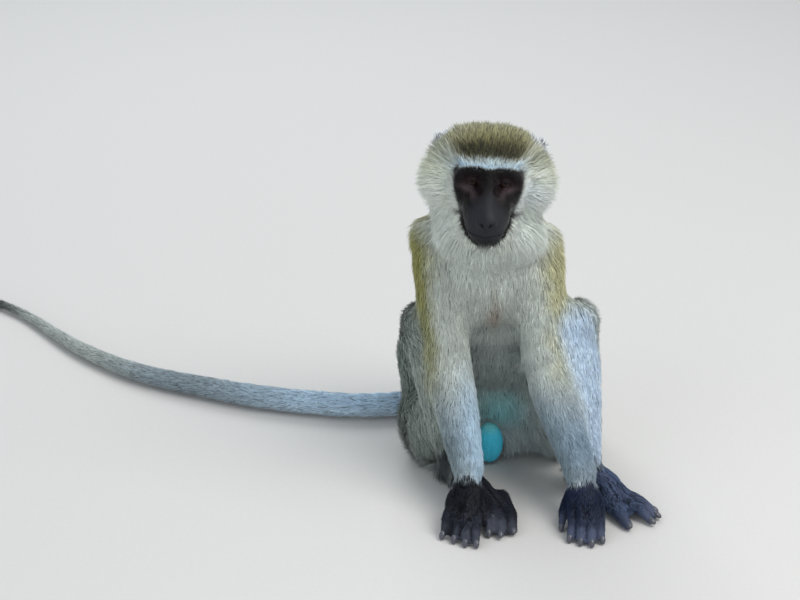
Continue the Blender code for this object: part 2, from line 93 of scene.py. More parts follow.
# half the width of the bare face, in metres, at heights on the head from its brow to its chin
FACE_HEIGHTS = [-0.066, -0.058, -0.048, -0.036, -0.028, -0.016, -0.004, 0.006, 0.012]
FACE_WIDTHS = [0.0060, 0.0160, 0.0215, 0.0235, 0.0255, 0.0285, 0.0315, 0.0310, 0.0280]
FACE_TOP = 0.0135

SKIN_VOXEL = 0.0019             # fineness of the fused skin
SKIN_FACES = 116000             # triangles that it is thinned to, before the face is refined
SWELL = 0.0005                  # how far each solid swells, so that its neighbours touch it
REGION_SOFTNESS = 0.006         # width over which one region of the coat turns into the next
DIGIT_RADIUS = 0.006
TUFTS_PER_PIECE = 32000
TUFT_POINTS = 5                 # the root, three round the bend, and the tip
SINK = 0.0009                   # how deep a tuft's root goes into the skin
BEND_AT = 0.40                  # share of a tuft's length at which it bends and is widest
HAIR_ABOVE_FLOOR = 0.0006
SEED = 11

# the ends of all fingers and toes, each with its side
DIGIT_ENDS = [(side, np.array(end)) for digits in (FINGERS, TOES)
              for side in SIDES for _, end in digits[side]]


# ---- small sums
def unit(v):
    return v / np.maximum(np.linalg.norm(v, axis=-1, keepdims=True), 1e-12)


def ramp(x, low, high):
    """0 below low, 1 above high, and smooth between."""
    t = np.clip((x - low) / (high - low), 0.0, 1.0)
    return t * t * (3.0 - 2.0 * t)
def bell(*parts):
    """1 where each value is at its middle and less away from it; each part is (values, middle, width)."""
    return np.exp(-sum(((values - middle) / width) ** 2 for values, middle, width in parts))


def blob(points, middle, radii):
    """1 at a point in space and less away from it."""
    return np.exp(-(((points - np.array(middle)) / np.array(radii)) ** 2).sum(1))


def near_point(points, middle, low, high):
    """1 nearer to a point than low, 0 beyond high, and smooth between."""
    return 1 - ramp(np.linalg.norm(points - middle, axis=1), low, high)


def mix(a, b, share):
    """From a to b by a share for each row."""
    share = share[:, None]
    return a * (1.0 - share) + b * share


def tone(red, green, blue):
    """A colour given in everyday 0-255 values, as light."""
    c = np.array((red, green, blue)) / 255.0
    return np.where(c <= 0.04045, c / 12.92, ((c + 0.055) / 1.055) ** 2.4)


def waves(points, size, seed):
    """Smooth seeded noise, about -1 to 1, whose features are about so wide."""
    rng = np.random.default_rng(seed)
    total = np.zeros(len(points))
    for _ in range(9):
        heading = rng.normal(size=3)
        heading *= rng.uniform(0.6, 1.6) * math.pi / size / np.linalg.norm(heading)
        total += np.sin(points @ heading + rng.uniform(0, 2 * math.pi))
    return total / 4.0


HEAD_AXES = np.array(Matrix.Rotation(math.radians(HEAD_TURN), 3, "Z")
                     @ Matrix.Rotation(math.radians(HEAD_NOD), 3, "X")
                     @ Matrix.Rotation(math.radians(HEAD_TIP), 3, "Y"))


def on_head(points):
    """How far points lie to the head's left, forward of it and above its middle."""
    q = (points - np.array(HEAD)) @ HEAD_AXES
    return q[:, 0], -q[:, 1], q[:, 2]


def head_vector(side, forward, up):
    """A direction given on the head, in the world's axes."""
    return np.stack([side, -forward, up], 1) @ HEAD_AXES.T


# ---- the lie of the coat, region by region
def chain(points, radii):
    """Points joined by tapered links, with a radius at each; one number does for all."""
    points = np.array(points, float)
    return points, np.broadcast_to(np.array(radii, float), len(points))


def near_chain(P, links):
    """For each point: its gap to a chain, the nearest link's heading, its axis, and the way along."""
    points, radii = links
    gap = np.full(len(P), np.inf)
    heading, axis, way = np.zeros_like(P), np.zeros_like(P), np.zeros(len(P))
    start = 0.0
    for a, b, ra, rb in zip(points[:-1], points[1:], radii[:-1], radii[1:]):
        span = b - a
        length = np.linalg.norm(span)
        t = np.clip((P - a) @ span / length ** 2, 0.0, 1.0)
        foot = a + t[:, None] * span
        d = np.linalg.norm(P - foot, axis=1) - (ra + (rb - ra) * t)
        closer = d < gap
        gap[closer] = d[closer]
        heading[closer] = span / length
        axis[closer] = foot[closer]
        way[closer] = start + t[closer] * length
        start += length
    return gap, heading, axis, way


def digit_chain(base, digit):
    """From wrist or ankle along a finger or toe."""
    return chain([base, *digit], [0.011, DIGIT_RADIUS, DIGIT_RADIUS * 0.8])


# kind of region: (depth of the skin under the coat, hair length, tuft width, tilt in degrees, tufts per cm2)
HAIR = {"head": (0.009, 0.014, 0.0008, 35, 210),
        "neck": (0.0097, 0.021, 0.0009, 17, 100),
        "trunk": (0.0095, 0.020, 0.0009, 15, 71),
        "tail": (0.0028, 0.0105, 0.0008, 15, 59),
        "upper_arm": (0.0070, 0.0155, 0.0008, 16, 93),
        "forearm": (0.0050, 0.0125, 0.0007, 17, 108),
        "thigh": (0.0080, 0.018, 0.0010, 17, 60),
        "shin": (0.0045, 0.0130, 0.0008, 17, 84),
        "hand": (0.0014, 0.006, 0.0007, 15, 110),
        "foot": (0.0014, 0.006, 0.0007, 15, 100)}
BROW_HAIR = (0.0035, 0.0060, 0.0006, 26, 480)
CROWN_HAIR = (0.0075, 0.0135, 0.0008, 49, 250)
CHEEK_HAIR = (0.0120, 0.0240, 0.0007, 34, 330)
NAPE_HAIR = (0.0090, 0.0190, 0.0009, 26, 90)

# region: the chains that it lies round
REGIONS = {"head": [chain([tuple(HEAD), tuple(HEAD)[:2] + (HEAD[2] - 0.001,)], 0.044)],
           "neck": [chain(NECK, [0.053, 0.047])],
           "trunk": [chain(SPINE, [0.070, 0.066, 0.066, 0.060])],
           "tail": [chain(TAIL, TAIL_RADII)]}
for side in SIDES:
    REGIONS["upper_arm_" + side] = [chain([SHOULDER[side], ELBOW[side]], [0.031, 0.028])]
    REGIONS["forearm_" + side] = [chain([ELBOW[side], WRIST[side]], [0.0275, 0.0190])]
    REGIONS["thigh_" + side] = [chain([HIP[side], KNEE[side]], [0.050, 0.028])]
    REGIONS["shin_" + side] = [chain([KNEE[side], ANKLE[side]], [0.0265, 0.0190])]
    REGIONS["hand_" + side] = [digit_chain(WRIST[side], digit) for digit in FINGERS[side]]
    REGIONS["foot_" + side] = [digit_chain(ANKLE[side], digit) for digit in TOES[side]]
NAMES = list(REGIONS)


def hair_of(region):
    return HAIR[region.removesuffix("_right").removesuffix("_left")]


class Coat:
    """What the coat is at a set of points: region shares, lie, lengths and colours."""

    def __init__(self, P, N):
        self.P, self.N = P, N
        self.s, self.f, self.u = on_head(P)
        rows = np.arange(len(P))
        gaps, headings, axes, ways = [], [], [], []
        for name in NAMES:
            found = [near_chain(P, links) for links in REGIONS[name]]
            nearest = np.stack([gap for gap, *_ in found]).argmin(0)
            for store, values in zip((gaps, headings, axes, ways), zip(*found)):
                store.append(np.stack(values)[nearest, rows])
        gaps = np.array(gaps)
        gaps[NAMES.index("head")] -= 0.030 * ramp(self.f, 0.010, 0.030) * ramp(self.u, -0.075, -0.060)
        share = np.exp(-(gaps - gaps.min(0)) / REGION_SOFTNESS)
        self.share = share / share.sum(0)
        self.heading = dict(zip(NAMES, headings))
        self.around = {name: unit(P - axis) for name, axis in zip(NAMES, axes)}
        self.way = dict(zip(NAMES, ways))
        self.region = self.share.argmax(0)
        self.zones()

    def of(self, name):
        return self.share[NAMES.index(name)]

    def blend(self, column):
        return sum(share * hair_of(name)[column] for name, share in zip(NAMES, self.share))

    def zones(self):
        """Parts of the head: the bare face, the brow band, the crown, the nape and the cheek whiskers."""
        s, f, u = self.s, self.f, self.u
        width = np.interp(u, FACE_HEIGHTS, FACE_WIDTHS)
        top = FACE_TOP - 0.009 * (np.abs(s) / 0.030) ** 6
        inside = np.minimum(np.minimum(width - np.abs(s), top - u), (u + 0.068))
        inside = np.where(f > 0.012, inside, -1.0)
        self.face_depth = np.maximum(inside, (f - 0.047))
        self.face = ramp(self.face_depth, -0.0006, 0.0006)
        on = self.of("head")
        front = ramp(f, 0.010, 0.022)
        brow_top = 0.0152 - 0.0045 * (np.abs(s) / 0.032) ** 2 - 0.004 * ramp(np.abs(s), 0.026, 0.038)
        under_top = 1 - ramp(u - brow_top, 0.0, 0.0022)
        self.brow = on * ramp(f, 0.016, 0.028) * ramp(u, -0.004, 0.003) * under_top * (1 - self.face)
        self.brow *= 1 - ramp(np.abs(s), 0.033, 0.042)
        corner = ramp(np.abs(s), 0.030, 0.038) * front
        self.crown = on * ramp(u - 0.003 * corner, 0.008, 0.019) * (1 - self.face) * (1 - self.brow)
        self.nape = on * ramp(-f, 0.006, 0.026) * (1 - self.crown)
        self.cheek = np.clip(on * (1 - self.face) - self.brow - self.crown - self.nape, 0, 1)

    def shape(self):
        """Depth, length, width, tilt and crowding of the hair."""
        depth, length, width, tilt, crowd = (self.blend(column) for column in range(5))
        for zone, values in ((self.brow, BROW_HAIR), (self.crown, CROWN_HAIR),
                             (self.cheek, CHEEK_HAIR), (self.nape, NAPE_HAIR)):
            depth, length, width, tilt, crowd = (a * (1 - zone) + b * zone for a, b in
                                                 zip((depth, length, width, tilt, crowd), values))
        rim = ramp(self.face_depth, -0.010, 0.0)
        depth = depth * (1 - rim * self.head_front())
        length = length * (1 - 0.45 * rim * self.head_front())
        fringe = self.fringe()
        length = length * (1 - 0.6 * self.face * self.head_front()) + 0.009 * fringe
        return depth * (1 - self.bare()), length, width, tilt + 12 * fringe, crowd * (1 + 0.4 * fringe)

    def fringe(self):
        """Where longer hair hangs: low on the right haunch and heel, between the thighs, and at the jaw."""
        haunch = blob(self.P, (-0.070, -0.080, 0.022), 0.030)
        seat = blob(self.P, (0.010, -0.055, 0.018), (0.05, 0.02, 0.014))
        jaw = bell((np.abs(self.s), 0.050, 0.016), (self.u, -0.062, 0.014))
        return np.clip(haunch + seat + 0.8 * jaw, 0, 1) * (1 - self.of("hand_right") - self.of("foot_right"))

    def head_front(self):
        return self.of("head") * ramp(self.f, 0.010, 0.025)

    def bare(self):
        """1 on the bare face, and 0 elsewhere."""
        return np.clip(self.face * self.head_front(), 0, 1)

    def lie(self):
        """The direction in which the hair lies, along the surface."""
        P, s, f, u = self.P, self.s, self.f, self.u
        flow = np.zeros_like(P)
        for name, share in zip(NAMES, self.share):
            if name == "head":
                continue
            way = self.heading[name] + 0.15 * self.around[name]
            if name == "trunk":
                way = np.stack([(P[:, 0] + 0.005) * 4.0, np.zeros(len(P)), -np.ones(len(P))], 1)
            if name == "neck":
                way = np.stack([(P[:, 0] + 0.010) * 12.0, 0.20 * np.ones(len(P)), -np.ones(len(P))], 1)
            if name.startswith(("upper_arm", "forearm")):
                way = way + np.array((0.10 * SIGN[name.rsplit("_")[-1]], 0.0, -0.25))
            flow += share[:, None] * unit(way)
        ones = np.ones(len(P))
        crown_up = 0.45 - 1.3 * ramp(-f, 0.015, 0.045)
        flow += self.crown[:, None] * unit(head_vector(s * 8.0, -0.9 * ones, crown_up))
        brow_up = 1.0 - 1.1 * ramp(np.abs(s), 0.020, 0.034)
        flow += self.brow[:, None] * unit(head_vector(s * 14.0, -0.1 * ones, brow_up))
        flow += self.cheek[:, None] * unit(head_vector(s * 32.0, -0.35 * ones, (u + 0.014) * 26.0))
        flow += self.nape[:, None] * unit(head_vector(s * 5.0, -0.2 * ones, -ones))
        from_nose = unit(head_vector(s * 30.0, -0.3 * ones, (u + 0.01) * 30.0))
        flow += (self.of("head") * self.face)[:, None] * from_nose
        flow = unit(flow)
        return unit(flow - (flow * self.N).sum(1, keepdims=True) * self.N)

    def colours(self):
        """Colour at the root and at the tip of the hair, and how grizzled it is."""
        root = np.zeros_like(self.P)
        tip = np.zeros_like(self.P)
        grizzle = np.zeros(len(self.P))

        def lay(weight, root_tone, tip_tone, amount):
            """Lay a tone over what is there, as thickly as its weight says."""
            root[:] = mix(root, tone(*root_tone), weight)
            tip[:] = mix(tip, tone(*tip_tone), weight)
            grizzle[:] = grizzle * (1 - weight) + amount * weight

        lay(np.ones(len(self.P)), (124, 129, 123), (151, 156, 150), 0.05)
        self.trunk_tones(lay)
        for side in SIDES:
            self.arm_tones(lay, side, side == "right")
            self.leg_tones(lay, side, side == "right")
            self.hand_and_foot_tones(lay, side, side == "right")
        self.tail_tones(lay)
        self.head_tones(lay)
        self.face_tones(lay)
        return root, tip, grizzle

    def trunk_tones(self, lay):
        """Pale in front and olive behind, with painted shade darkening the front toward the belly, a brown
        parting on the chest and teal above the scrotum.
        """
        P = self.P
        trunk, neck = self.of("trunk"), self.of("neck")
        body = trunk + neck
        facing_back = self.around["trunk"][:, 1] * trunk + self.around["neck"][:, 1] * neck
        back = ramp(facing_back + 0.08 * waves(P, 0.02, 3), -0.22, 0.14)
        lay(body * back, (66, 64, 42), (126, 120, 80), 0.65)
        bib = body * (1 - back) * ramp(P[:, 2], 0.200, 0.262)
        lay(bib, (136, 142, 136), (166, 172, 166), 0.05)
        # painted shade: the front darkens toward the belly, which lies in shade between the arms
        low = ramp(0.20 - P[:, 2], 0.0, 0.10)
        lay(body * (1 - back) * low, (96, 102, 100), (139, 147, 145), 0.08)
        rump = trunk * back * ramp(0.11 - P[:, 2], 0.0, 0.06)
        lay(rump, (96, 100, 90), (150, 154, 140), 0.4)
        groin = trunk * (1 - back) * ramp(0.075 - P[:, 2], 0.0, 0.03)
        lay(groin, (106, 112, 112), (148, 158, 160), 0.06)
        parting = bell((P[:, 0], -0.0045, 0.0055), (P[:, 2], 0.182, 0.024))
        lay(trunk * (1 - back) * parting * 0.9, (92, 78, 66), (132, 114, 100), 0.3)
        blush = bell((P[:, 0], 0.004, 0.026), (P[:, 2], 0.058, 0.018))
        lay(trunk * (1 - back) * blush * 0.7, (82, 142, 144), (116, 182, 184), 0.15)

    def arm_tones(self, lay, side, right):
        """Olive on the shoulder and the outside; painted cold light makes the forearms bluish toward the hand
        and on the right one's inside, and painted shade darkens the left one's inside and the right one's
        outside toward the hand.
        """
        P, sign = self.P, SIGN[side]
        out = unit(np.array((sign, 0.10 if right else -0.25, 0.0)))
        olive = ((70, 71, 36), (125, 124, 74)) if right else ((92, 92, 66), (156, 154, 120))
        shoulder = np.array(SHOULDER[side]) + np.array((sign * 0.020, -0.014, 0.022))
        top = blob(P, shoulder, (0.018, 0.040, 0.022))
        lay((self.of("trunk") + self.of("neck") + self.of("upper_arm_" + side)) * top * 0.9, *olive, 0.4)
        for part, reach in (("upper_arm_", 1.0), ("forearm_", 0.45)):
            name = part + side
            outer = ramp(self.around[name] @ out + 0.14 * waves(P, 0.012, 5), 0.0, 0.75)
            fade = reach - (0 if reach == 1.0 else self.way[name] / 0.12)
            lay(self.of(name) * outer * np.clip(fade, 0, 1), *olive, 0.4)
        name = "forearm_" + side
        down = ramp(self.way[name], -0.02, 0.09)
        # painted cold light: the forearm turns bluish toward the hand
        lay(self.of(name) * down, (84, 97, 106), (118, 135, 147) if right else (102, 120, 135), 0.2)
        # painted light and shade on the forearm's inside: lit pale blue on the right, shaded darker on the
        # left
        inside_light_and_shade = ramp(-self.around[name] @ out, -0.1, 0.7) * (0.4 + 0.6 * down)
        inside = ((106, 124, 137), (154, 178, 196)) if right else ((78, 90, 95), (107, 122, 128))
        lay(self.of(name) * inside_light_and_shade * 0.8, *inside, 0.10)
        if right:
            # painted shade down the outside of the right forearm, toward the hand
            outside = ramp(self.around[name] @ out, 0.0, 0.8) * down
            lay(self.of(name) * outside * 0.6, (64, 72, 70), (96, 106, 104), 0.35)

    def leg_tones(self, lay, side, right):
        """Grey, darker on the right; the left knee and shin are painted pale blue in front, as cold light
        from above.
        """
        shin, thigh = self.of("shin_" + side), self.of("thigh_" + side)
        grey = ((60, 68, 63), (97, 107, 100)) if right else ((104, 111, 108), (154, 162, 158))
        for share in (thigh, shin):
            lay(share, *grey, 0.40 if right else 0.12)
        if right:
            outside = ramp(-self.around["shin_right"][:, 0], 0.2, 0.9) * shin
            lay(outside * 0.4, (98, 106, 102), (146, 154, 150), 0.3)
        else:
            # painted cold light: the front of the left shin and knee is pale blue
            front = ramp(-self.around["shin_left"][:, 1], -0.3, 0.5) * shin
            sky_lit_knee = ramp(-self.around["thigh_left"][:, 1], 0.2, 0.8) * thigh * ramp(self.P[:, 2], 0.10, 0.14)
            lay(front + sky_lit_knee, (148, 166, 184), (184, 204, 224), 0.05)

    def hand_and_foot_tones(self, lay, side, right):
        """Black, with a ragged edge at wrist and ankle; the left hand and foot are painted bluer as cold
        light on them, and the finger backs turn paler toward the fingertips, partly a painted highlight.
        """
        P = self.P
        ragged = 0.14 * waves(P, 0.006, 31)
        on_hand, on_foot = (ramp(self.of(part + side) + ragged, 0.30, 0.62) for part in ("hand_", "foot_"))
        low = 1 - ramp(P[:, 2] + 0.06 * ragged, 0.042, 0.056)
        ankle = self.of("shin_" + side) * low * ramp(-P[:, 1], 0.095, 0.11)
        lay(ankle, (14, 15, 20), (28, 33, 46), 0.3)
        # the left hand's and foot's tip tones are bluer: painted cold light
        lay(on_hand, (11, 12, 17), (22, 26, 36) if right else (29, 42, 70), 0.3)
        lay(on_foot, (17, 20, 29), (26, 30, 40) if right else (66, 79, 106), 0.25)
        # paler finger backs toward the tips, partly a painted highlight on the knuckles
        paler_fingers_and_highlight = ramp(self.way["hand_" + side], 0.040, 0.066) * on_hand
        lay(paler_fingers_and_highlight * 0.8, (24, 27, 35), (46, 51, 64) if right else (60, 68, 90), 0.2)

    def tail_tones(self, lay):
        """Bluish near the body and lighter on top, both painted cold light from above, then grey, and dark at
        the tip.
        """
        tail, along = self.of("tail"), self.way["tail"]
        sky_lit_top = ramp(self.N[:, 2], -0.5, 0.5)
        # painted cold light: the tail is bluish near the body, and more so on its top
        lay(tail, (110, 126, 138), (165, 184, 199), 0.3)
        lay(tail * sky_lit_top, (107, 126, 142), (160, 184, 203), 0.25)
        lay(tail * ramp(along, 0.13, 0.34), (78, 86, 90), (115, 127, 133), 0.25)
        lay(tail * ramp(along, 0.36, 0.50), (96, 101, 98), (146, 153, 148), 0.2)
        lay(tail * ramp(along, 0.60, 0.69), (30, 31, 33), (52, 53, 55), 0.1)

    def head_tones(self, lay):
        """White cheeks, the left one whiter in painted light, olive temples, nape and crown, and a pale blue
        brow.
        """
        f, u, beside = self.f, self.u, np.abs(self.s)
        lay(self.of("head"), (152, 157, 149), (192, 197, 189), 0.06)
        temple = self.cheek * ramp(u, -0.026, 0.006) * ramp(beside, 0.029, 0.044)
        lay(temple, (98, 102, 84), (142, 146, 122), 0.3)
        high_temple = self.cheek * ramp(u, -0.002, 0.012) * ramp(beside, 0.027, 0.036)
        lay(high_temple, (72, 74, 55), (112, 114, 91), 0.5)
        # painted light: only the left cheek, on the lit side, is laid whiter
        lit_left_cheek = self.cheek * ramp(self.s, 0.018, 0.034) * (1 - ramp(u, -0.014, 0.0)) * self.head_front()
        lay(lit_left_cheek * 0.7, (158, 166, 168), (204, 212, 218), 0.05)
        lay(self.nape, (80, 78, 54), (140, 134, 92), 0.5)
        lay(self.crown, (50, 48, 27), (100, 97, 60), 1.0)
        crown_low = self.crown * ramp(f, 0.006, 0.024) * (1 - ramp(beside, 0.026, 0.038))
        lay(crown_low, (20, 19, 11), (56, 53, 31), 1.0)
        lay(self.crown * ramp(beside, 0.032, 0.046), (68, 70, 50), (116, 118, 88), 0.6)
        lay(self.brow, (86, 99, 108), (134, 155, 168), 0.3)
        lay(self.brow * ramp(beside, 0.026, 0.037), (96, 106, 108), (136, 148, 152), 0.25)
        whiskers = bell((beside, 0.0236, 0.0036), (u, -0.0385, 0.0032)) * self.head_front()
        lay(whiskers, (16, 15, 15), (30, 28, 28), 0.1)
        lay(ears_share(self.P) * self.of("head"), (120, 122, 128), (178, 184, 192), 0.1)

    def face_tones(self, lay):
        """Black skin, greyer on the muzzle, brown on the lids and paler under the eyes."""
        f, u, beside = self.f, self.u, np.abs(self.s)
        skin = self.face * self.head_front()
        muzzle = ramp(f, 0.050, 0.066)
        chin = ramp(-u, 0.034, 0.052)
        lids = bell((beside, 0.017, 0.0100), (u, -0.0010, 0.0085))
        under_eye = bell((beside, 0.0185, 0.0080), (u, -0.0058, 0.0028)) * ramp(beside, 0.009, 0.016)
        glow = bell((self.s, 0.0045, 0.0035), (u, -0.0165, 0.0055)) * ramp(f, 0.066, 0.072)
        for share, shown in ((1.0, (9, 6, 7)), (muzzle, (40, 42, 46)), (chin, (17, 16, 17)),
                             (lids * 0.85, (44, 31, 33)), (under_eye * 0.8, (84, 72, 75)),
                             (glow * 0.6, (60, 62, 66))):
            lay(skin * share, shown, shown, 0.0)


# ---- materials
# sockets of a mix node, which it numbers: the factor, two numbers, two colours, and the mixed colour
FACTOR, NUMBER_A, NUMBER_B, COLOUR_A, COLOUR_B, COLOUR_OUT = 0, 2, 3, 6, 7, 2


def new_material(name, inputs):
    """A material, with some inputs of its shader set."""
    mat = bpy.data.materials.new(name)
    mat.use_nodes = True
    shader = mat.node_tree.nodes["Principled BSDF"]
    for key, value in inputs.items():
        shader.inputs[key].default_value = value
    return mat, mat.node_tree.nodes, mat.node_tree.links, shader


def new_node(nodes, kind, **inputs):
    node = nodes.new("ShaderNode" + kind)
    for key, value in inputs.items():
        node.inputs[key].default_value = value
    return node


def attribute(nodes, name):
    """A value kept on the points of the mesh."""
    node = new_node(nodes, "Attribute")
    node.attribute_name = name
    return node


def painted(nodes):
    """The colour painted on the points of the mesh."""
    node = new_node(nodes, "VertexColor")
    node.layer_name = "coat"
    return node.outputs["Color"]


def coat_material(name, rough, sheen):
    """Hair: the colour painted on its points, with a little sheen."""
    mat, nodes, links, shader = new_material(name, {"Roughness": rough, "Specular IOR Level": 0.25,
                                                    "Sheen Weight": sheen, "Sheen Roughness": 0.4})
    links.new(painted(nodes), shader.inputs["Base Color"])
    return mat


def hide_material():
    """The painted skin, with combed relief under the coat and a leathery grain where it is bare."""
    mat, nodes, links, shader = new_material("hide", {"Specular IOR Level": 0.15})
    bare = attribute(nodes, "bare").outputs["Fac"]
    streaks = new_node(nodes, "TexNoise", Scale=1.0, Detail=3.0)
    links.new(attribute(nodes, "comb").outputs["Vector"], streaks.inputs["Vector"])
    grain = new_node(nodes, "TexVoronoi", Scale=900.0)
    links.new(new_node(nodes, "TexCoord").outputs["Object"], grain.inputs["Vector"])
    relief = new_node(nodes, "Mix")
    relief.data_type = "FLOAT"
    links.new(bare, relief.inputs[FACTOR])
    links.new(streaks.outputs["Fac"], relief.inputs[NUMBER_A])
    links.new(grain.outputs["Distance"], relief.inputs[NUMBER_B])
    bump = new_node(nodes, "Bump", Strength=0.6, Distance=0.0006)
    links.new(relief.outputs[0], bump.inputs["Height"])
    links.new(bump.outputs["Normal"], shader.inputs["Normal"])
    tint = new_node(nodes, "ValToRGB")
    dark, light = tint.color_ramp.elements
    dark.position, light.position = 0.30, 0.70
    dark.color = (0.62, 0.62, 0.62, 1)
    links.new(relief.outputs[0], tint.inputs["Fac"])
    shade = new_node(nodes, "Mix")
    shade.data_type = "RGBA"
    shade.blend_type = "MULTIPLY"
    shade.inputs[FACTOR].default_value = 0.5
    links.new(painted(nodes), shade.inputs[COLOUR_A])
    links.new(tint.outputs["Color"], shade.inputs[COLOUR_B])
    links.new(shade.outputs[COLOUR_OUT], shader.inputs["Base Color"])
    rough = new_node(nodes, "MapRange")
    rough.inputs["To Min"].default_value = 0.85
    rough.inputs["To Max"].default_value = 0.5
    links.new(bare, rough.inputs["Value"])
    links.new(rough.outputs["Result"], shader.inputs["Roughness"])
    return mat


def plain_material(name, colour, rough, coat=0.0, change=0.25):
    """A nearly even colour, a little lighter and darker in a fine grain."""
    mat, nodes, links, shader = new_material(name, {"Roughness": rough, "Coat Weight": coat,
                                                    "Coat Roughness": 0.05})
    noise = new_node(nodes, "TexNoise", Scale=220.0, Detail=4.0)
    links.new(new_node(nodes, "TexCoord").outputs["Object"], noise.inputs["Vector"])
    tint = new_node(nodes, "ValToRGB")
    dark, light = tint.color_ramp.elements
    dark.color = (*((1 - change) * np.array(colour)), 1)
    light.color = (*np.minimum((1 + change) * np.array(colour), 1), 1)
    links.new(noise.outputs["Fac"], tint.inputs["Fac"])
    links.new(tint.outputs["Color"], shader.inputs["Base Color"])
    return mat


# ---- mesh in and out of arrays
def link(obj):
    bpy.context.scene.collection.objects.link(obj)
    return obj


def mesh_from(bm, name):
    """Turn a finished bmesh into a mesh."""
    mesh = bpy.data.meshes.new(name)
    bm.to_mesh(mesh)
    bm.free()
    return mesh


def rows_of(items, key, width, kind=float):
    """One property of all items of a mesh, as rows."""
    values = np.empty(len(items) * width, kind)
    items.foreach_get(key, values)
    return values.reshape(-1, width)


def points_of(mesh):
    return rows_of(mesh.vertices, "co", 3)


def normals_of(mesh):
    return rows_of(mesh.vertex_normals, "vector", 3)


def edges_of(mesh):
    return rows_of(mesh.edges, "vertices", 2, int)


def set_points(mesh, P):
    mesh.vertices.foreach_set("co", P.ravel())
    mesh.update()


def paint_points(mesh, colour):
    layer = mesh.color_attributes.new("coat", "FLOAT_COLOR", "POINT")
    layer.data.foreach_set("color", np.column_stack([colour, np.ones(len(colour))]).ravel())


def smooth(mesh):
    mesh.polygons.foreach_set("use_smooth", np.ones(len(mesh.polygons), bool))


def add_piece(mesh, material):
    """Add a mesh to the animal as a piece of its own."""
    mesh.materials.append(material)
    obj = link(bpy.data.objects.new(mesh.name, mesh))
    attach(obj, "root")
    return obj


def relax(values, E, rounds, amount):
    """Draw each vertex's value towards its neighbours' mean, so many times, by an amount of its own."""
    n = len(values)
    ends, others = np.concatenate([E[:, 0], E[:, 1]]), np.concatenate([E[:, 1], E[:, 0]])
    count = np.maximum(np.bincount(ends, minlength=n), 1)
    values = values.copy()
    for _ in range(rounds):
        for k in range(values.shape[1]):
            mean = np.bincount(ends, weights=values[others, k], minlength=n) / count
            values[:, k] += (mean - values[:, k]) * amount
    return values


def apply_modifiers(obj):
    shown = obj.evaluated_get(bpy.context.evaluated_depsgraph_get())
    old = obj.data
    obj.data = bpy.data.meshes.new_from_object(shown)
    obj.modifiers.clear()
    bpy.data.meshes.remove(old)


# ---- the skin
def fused_solids():
    """All the solids as one closed mesh: each swells a little, and a voxel remesh fuses them."""
    whole = bmesh.new()
    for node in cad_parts.values():
        bm = bmesh.new()
        bm.from_mesh(node.data)
        bmesh.ops.remove_doubles(bm, verts=bm.verts, dist=2e-6)
        bmesh.ops.recalc_face_normals(bm, faces=bm.faces)
        bm.normal_update()
        for vert in bm.verts:
            vert.co += vert.normal * SWELL
        piece = mesh_from(bm, "piece")
        whole.from_mesh(piece)
        bpy.data.meshes.remove(piece)
    obj = link(bpy.data.objects.new("hide", mesh_from(whole, "hide")))
    remesh = obj.modifiers.new("fuse", "REMESH")
    remesh.mode = "VOXEL"
    remesh.voxel_size = SKIN_VOXEL
    apply_modifiers(obj)
    return obj


def draw_in(obj):
    """Smooth the fused mesh and draw it in under the coat, each place by the coat's depth there."""
    mesh = obj.data
    E = edges_of(mesh)
    P = points_of(mesh)
    coat = Coat(P, normals_of(mesh))
    fine = sum(coat.of(name) for name in NAMES if name.startswith(("hand", "foot"))) + coat.bare()
    fine = np.clip(fine + ears_share(P), 0, 1)
    P = relax(P, E, 8, 0.5 * (1 - 0.75 * fine))
    throat = coat.of("neck") + coat.of("trunk") * ramp(P[:, 2], 0.190, 0.215)
    throat = throat * (1 - fine) * ramp(-P[:, 1], 0.02, 0.05)
    P = relax(P, E, 80, 0.5 * throat)
    set_points(mesh, P)
    N = unit(relax(normals_of(mesh), E, 3, 0.5 * np.ones(len(P))))
    depth = coat.shape()[0] * (1 - ears_share(P)) * (1 - scrotum_share(P)) + SWELL
    depth = relax(depth[:, None], E, 20, 0.5 * (1 - fine))[:, 0]
    P = relax(P - N * depth[:, None], E, 8, 0.5 * (1 - 0.9 * fine))
    P[:, 2] = np.maximum(P[:, 2], 0.0)
    set_points(mesh, P)
    return fine


def box_middle(node):
    """The middle of a node's box, and half its size."""
    low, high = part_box(node)
    return (np.array(low) + np.array(high)) / 2, (np.array(high) - np.array(low)) / 2


def near_box(P, node, margin):
    """About 1 within a node's box, seen as an ellipsoid, and 0 outside it."""
    middle, half = box_middle(node)
    return 1 - ramp(np.linalg.norm((P - middle) / (half + margin), axis=1), 0.95, 1.15)


def ears_share(P):
    """1 on the ears, and 0 away from them."""
    return np.maximum(near_box(P, "ear_right", 0.0045), near_box(P, "ear_left", 0.0045))


def scrotum_share(P):
    """1 on the scrotum, and 0 away from it."""
    return near_box(P, "scrotum", 0.0015)


def thin(obj, keep):
    """Thin the mesh where it is under the coat, and keep its fineness on face, hands and feet."""
    group = obj.vertex_groups.new(name="coated")
    weight = 1.0 - keep
    for level in range(1, 11):
        chosen = np.nonzero(np.round(weight * 10).astype(int) == level)[0]
        group.add(chosen.tolist(), level / 10, "REPLACE")
    step = obj.modifiers.new("thin", "DECIMATE")
    step.ratio = min(1.0, SKIN_FACES / (2 * len(obj.data.polygons)))
    step.vertex_group = "coated"
    step.vertex_group_factor = 1.0
    apply_modifiers(obj)
    obj.vertex_groups.clear()


